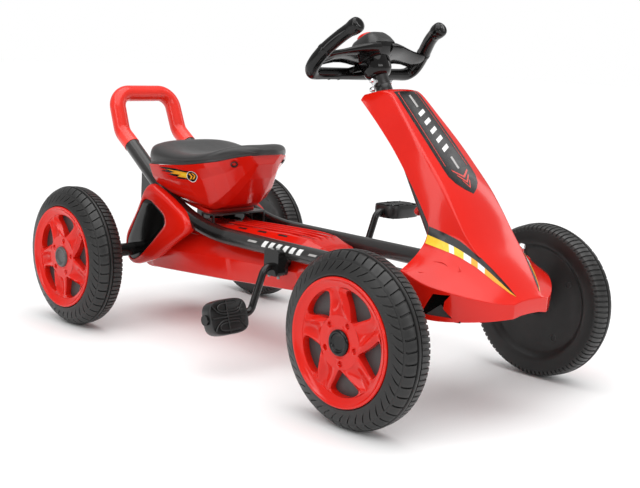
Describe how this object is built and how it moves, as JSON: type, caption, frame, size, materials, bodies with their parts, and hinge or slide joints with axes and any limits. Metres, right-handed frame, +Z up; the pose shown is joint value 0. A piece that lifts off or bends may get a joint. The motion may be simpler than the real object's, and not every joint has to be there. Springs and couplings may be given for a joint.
{
  "type": "pedal go kart",
  "caption": "Child's chain-driven pedal go kart with a tubular frame, butterfly steering wheel, saddle seat and push hoop.",
  "frame": {"origin": "on the ground in the middle of the kart's length and width", "axes": "+Z up, the nose points towards -Y, +X is the rider's left"},
  "size_m": [0.496, 0.9424, 0.55],
  "materials": {
    "frame_black": "gloss black powder coat",
    "hoop_red": "gloss red powder coat",
    "red_plastic": "gloss moulded red",
    "seat_black": "satin moulded black pad",
    "gloss_black_plastic": "gloss moulded black",
    "hub_cap_black": "gloss moulded black",
    "tyre_black": "satin blow-moulded black",
    "nylon": "natural nylon",
    "chrome": "bright chrome",
    "steel": "zinc plated"
  },
  "bodies": {
    "frame": {"side_tube_left": "frame_black", "side_tube_right": "frame_black", "backrest_hoop": "hoop_red", "front_beam": "frame_black", "steering_stem": "frame_black", "column_bushes": "nylon", "seat_brackets": "frame_black", "rear_axle_plates": "frame_black", "rear_axle_bushes": "nylon", "crank_bearing_blocks": "gloss_black_plastic", "frame_screws": "steel", "seat_body": "red_plastic", "seat_pad": "seat_black", "chain_case_upper": "red_plastic", "chain_case_lower": "red_plastic", "rear_pod_left": "red_plastic", "rear_pod_right": "red_plastic", "pod_insets": "gloss_black_plastic", "front_fairing": "red_plastic", "intake_insets": "gloss_black_plastic", "fairing_bracket": "frame_black", "drive_chain": "steel"},
    "steering": {"steering_column": "frame_black", "steering_wheel": "gloss_black_plastic", "wheel_hub_cover": "gloss_black_plastic", "wheel_bolt": "chrome", "horn_spring": "steel"},
    "horn": {"horn_button": "red_plastic"},
    "knuckle_left": {"stub_axle_left": "frame_black", "knuckle_nuts_left": "chrome"},
    "knuckle_right": {"stub_axle_right": "frame_black", "knuckle_nuts_right": "chrome"},
    "tie_bar": {"tie_bar": "frame_black", "tie_bar_bolts": "steel"},
    "front_wheel_left": {"tyre_front_left": "tyre_black", "rim_cover_front_left": "red_plastic", "hub_cap_front_left": "hub_cap_black", "hub_bush_front_left": "nylon"},
    "front_wheel_right": {"tyre_front_right": "tyre_black", "rim_cover_front_right": "red_plastic", "hub_cap_front_right": "hub_cap_black", "hub_bush_front_right": "nylon"},
    "crank": {"crank_rod": "frame_black", "chainring": "steel", "pedal_caps": "gloss_black_plastic"},
    "pedal_left": {"pedal_left": "gloss_black_plastic"},
    "pedal_right": {"pedal_right": "gloss_black_plastic"},
    "rear_axle": {"rear_axle": "steel", "rear_sprocket": "steel", "axle_spacers": "gloss_black_plastic", "rear_axle_nuts": "steel", "tyre_rear_left": "tyre_black", "rim_cover_rear_left": "red_plastic", "hub_cap_rear_left": "hub_cap_black", "hub_bush_rear_left": "nylon"},
    "rear_wheel_right": {"tyre_rear_right": "tyre_black", "rim_cover_rear_right": "red_plastic", "hub_cap_rear_right": "hub_cap_black", "hub_bush_rear_right": "nylon"}
  },
  "joints": [
    {"name": "steer", "type": "hinge", "parent": "frame", "child": "steering", "pos_m": [0, -0.32625, 0.182], "axis": [0, 0.5, 0.866], "range_deg": [-27, 27]},
    {"name": "horn_press", "type": "slide", "parent": "steering", "child": "horn", "axis": [0, -0.5, -0.866], "range_m": [0, 0.004], "stiffness_N_per_m": 400, "springref_m": -0.001, "deforming": ["horn_spring"]},
    {"name": "knuckle_right_turn", "type": "hinge", "parent": "frame", "child": "knuckle_right", "pos_m": [-0.15, -0.34125, 0.182], "axis": [0, 0, 1], "range_deg": [-27, 27]},
    {"name": "knuckle_left_turn", "type": "hinge", "parent": "frame", "child": "knuckle_left", "pos_m": [0.15, -0.34125, 0.182], "axis": [0, 0, 1], "range_deg": [-27, 27]},
    {"name": "tie_bar_turn", "type": "hinge", "parent": "knuckle_right", "child": "tie_bar", "pos_m": [-0.15, -0.30125, 0.129], "axis": [0, 0, 1], "range_deg": [-27, 27]},
    {"name": "front_wheel_left_spin", "type": "hinge", "parent": "knuckle_left", "child": "front_wheel_left", "pos_m": [0.22, -0.34125, 0.1225], "axis": [1, 0, 0], "continuous": true},
    {"name": "front_wheel_right_spin", "type": "hinge", "parent": "knuckle_right", "child": "front_wheel_right", "pos_m": [-0.22, -0.34125, 0.1225], "axis": [1, 0, 0], "continuous": true},
    {"name": "crank_turn", "type": "hinge", "parent": "frame", "child": "crank", "pos_m": [0, -0.04255, 0.158], "axis": [1, 0, 0], "continuous": true, "deforming": ["drive_chain"]},
    {"name": "pedal_left_spin", "type": "hinge", "parent": "crank", "child": "pedal_left", "pos_m": [0.19, -0.04255, 0.228], "axis": [1, 0, 0], "continuous": true},
    {"name": "pedal_right_spin", "type": "hinge", "parent": "crank", "child": "pedal_right", "pos_m": [-0.19, -0.04255, 0.088], "axis": [1, 0, 0], "continuous": true},
    {"name": "rear_axle_spin", "type": "hinge", "parent": "frame", "child": "rear_axle", "pos_m": [0, 0.34875, 0.1225], "axis": [1, 0, 0], "continuous": true},
    {"name": "rear_wheel_right_spin", "type": "hinge", "parent": "rear_axle", "child": "rear_wheel_right", "pos_m": [-0.22, 0.34875, 0.1225], "axis": [1, 0, 0], "continuous": true}
  ],
  "couplings": [
    {"joint": "knuckle_right_turn", "follows": "steer", "ratio": 0.973},
    {"joint": "knuckle_left_turn", "follows": "steer", "ratio": 0.973},
    {"joint": "tie_bar_turn", "follows": "steer", "ratio": -0.973},
    {"joint": "rear_axle_spin", "follows": "crank_turn", "ratio": 1.1538}
  ]
}
